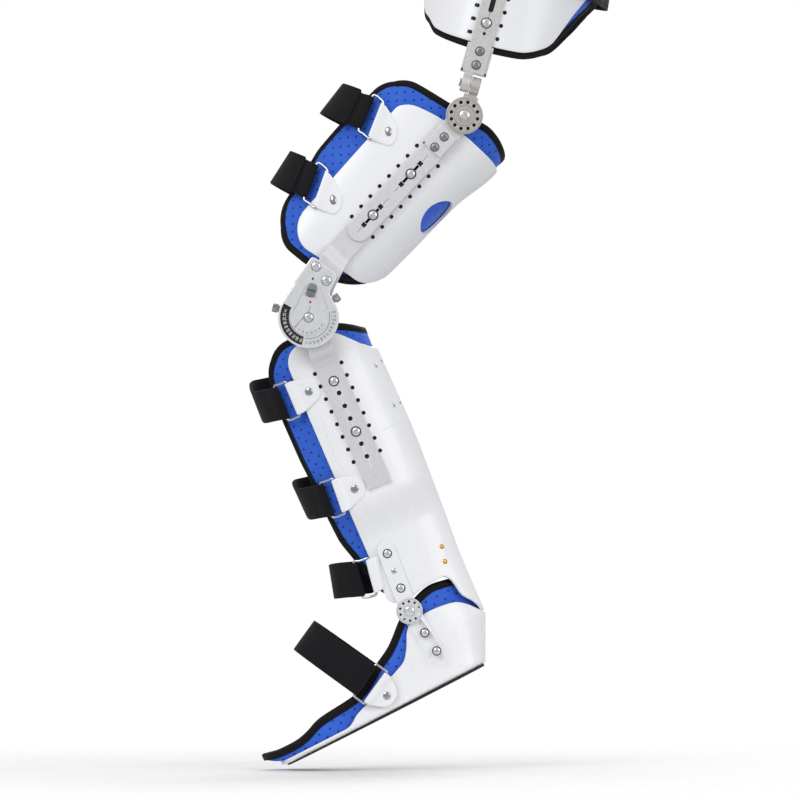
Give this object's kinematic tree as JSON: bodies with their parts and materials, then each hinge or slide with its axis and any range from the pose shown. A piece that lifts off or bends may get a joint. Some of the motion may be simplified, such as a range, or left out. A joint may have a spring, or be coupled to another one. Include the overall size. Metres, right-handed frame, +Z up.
{
  "type": "hip knee ankle foot orthosis",
  "caption": "Left leg brace from pelvic girdle to foot plate: white shells with blue padded liners, black straps, side bars and dial-stop knee, hip and ankle hinges.",
  "frame": {"origin": "middle of the pelvic girdle on the body's midline, where the wearer's pelvis sits", "axes": "+X to the wearer's back, -Y to the wearer's left (the side of the bars), +Z up"},
  "size_m": [0.4431, 0.3444, 1.031],
  "materials": {
    "white_plastic": "satin",
    "blue_pad": "matte perforated",
    "black_binding": "matte",
    "black_webbing": "matte",
    "sole_rubber": "matte",
    "bright_steel": "polished",
    "grey_metal": "satin",
    "satin_bar": "satin"
  },
  "bodies": {
    "pelvis": {"pelvic_shell_left": "white_plastic", "pelvic_shell_right": "white_plastic", "pelvic_liner_left": "blue_pad", "pelvic_liner_right": "blue_pad", "pelvic_binding_left": "black_binding", "pelvic_binding_right": "black_binding", "waist_belt": "black_webbing", "pelvic_bar": "satin_bar", "hip_bracket": "satin_bar", "abduction_pin": "bright_steel", "bracket_screw_upper": "bright_steel", "bracket_screw_lower": "bright_steel", "pelvic_bar_screw": "bright_steel"},
    "hip_link": {"hip_disc": "grey_metal", "hip_pivot_screw": "bright_steel"},
    "thigh": {"thigh_shell": "white_plastic", "thigh_liner": "blue_pad", "thigh_binding": "black_binding", "thigh_bar_upper": "satin_bar", "thigh_bar_lower": "satin_bar", "thigh_screw_upper": "bright_steel", "thigh_screw_lower": "bright_steel", "knee_cover": "satin_bar", "knee_pivot_screw": "bright_steel", "thigh_strap_upper": "black_webbing", "thigh_ring_upper": "bright_steel", "thigh_tab_upper": "white_plastic", "thigh_strap_lower": "black_webbing", "thigh_ring_lower": "bright_steel", "thigh_tab_lower": "white_plastic"},
    "lock": {"lock_slider": "grey_metal"},
    "front_stop": {"stop_knob_front": "grey_metal"},
    "back_stop": {"stop_knob_back": "grey_metal"},
    "calf": {"calf_shell": "white_plastic", "calf_liner": "blue_pad", "calf_binding": "black_binding", "calf_bar": "satin_bar", "calf_screw_upper": "bright_steel", "calf_screw_lower": "bright_steel", "ankle_upper_plate": "satin_bar", "calf_strap_upper": "black_webbing", "calf_ring_upper": "bright_steel", "calf_tab_upper": "white_plastic", "calf_strap_middle": "black_webbing", "calf_ring_middle": "bright_steel", "calf_tab_middle": "white_plastic", "calf_strap_lower": "black_webbing", "calf_ring_lower": "bright_steel", "calf_tab_lower": "white_plastic"},
    "foot": {"foot_shell": "white_plastic", "foot_liner": "blue_pad", "foot_binding": "black_binding", "foot_sole": "sole_rubber", "ankle_disc": "satin_bar", "ankle_pivot_screw": "bright_steel", "foot_strap_instep": "black_webbing", "foot_ring_instep": "bright_steel", "foot_tab_instep": "white_plastic"}
  },
  "joints": [
    {"name": "hip_abduction", "type": "hinge", "parent": "pelvis", "child": "hip_link", "pos_m": [-0.04746, -0.1666, -0.11388], "axis": [-0.9629, 0, 0.27], "range_deg": [-5, 20]},
    {"name": "hip_flexion", "type": "hinge", "parent": "hip_link", "child": "thigh", "pos_m": [-0.0547, -0.165, -0.1508], "axis": [0, 1, 0], "range_deg": [-30, 35]},
    {"name": "knee", "type": "hinge", "parent": "thigh", "child": "calf", "pos_m": [-0.2416, -0.168, -0.3931], "axis": [0, -1, 0], "range_deg": [-66, 24]},
    {"name": "ankle", "type": "hinge", "parent": "calf", "child": "foot", "pos_m": [-0.1206, -0.133, -0.7458], "axis": [0, 1, 0], "range_deg": [0, 20]},
    {"name": "lock_slide", "type": "slide", "parent": "thigh", "child": "lock", "axis": [-0.261, 0, -0.9653], "range_m": [-0.004, 0.004]},
    {"name": "front_stop_turn", "type": "hinge", "parent": "thigh", "child": "front_stop", "pos_m": [-0.2416, -0.171, -0.3931], "axis": [0, -1, 0], "range_deg": [0, 55]},
    {"name": "back_stop_turn", "type": "hinge", "parent": "thigh", "child": "back_stop", "pos_m": [-0.2416, -0.173, -0.3931], "axis": [0, 1, 0], "range_deg": [0, 50]}
  ]
}
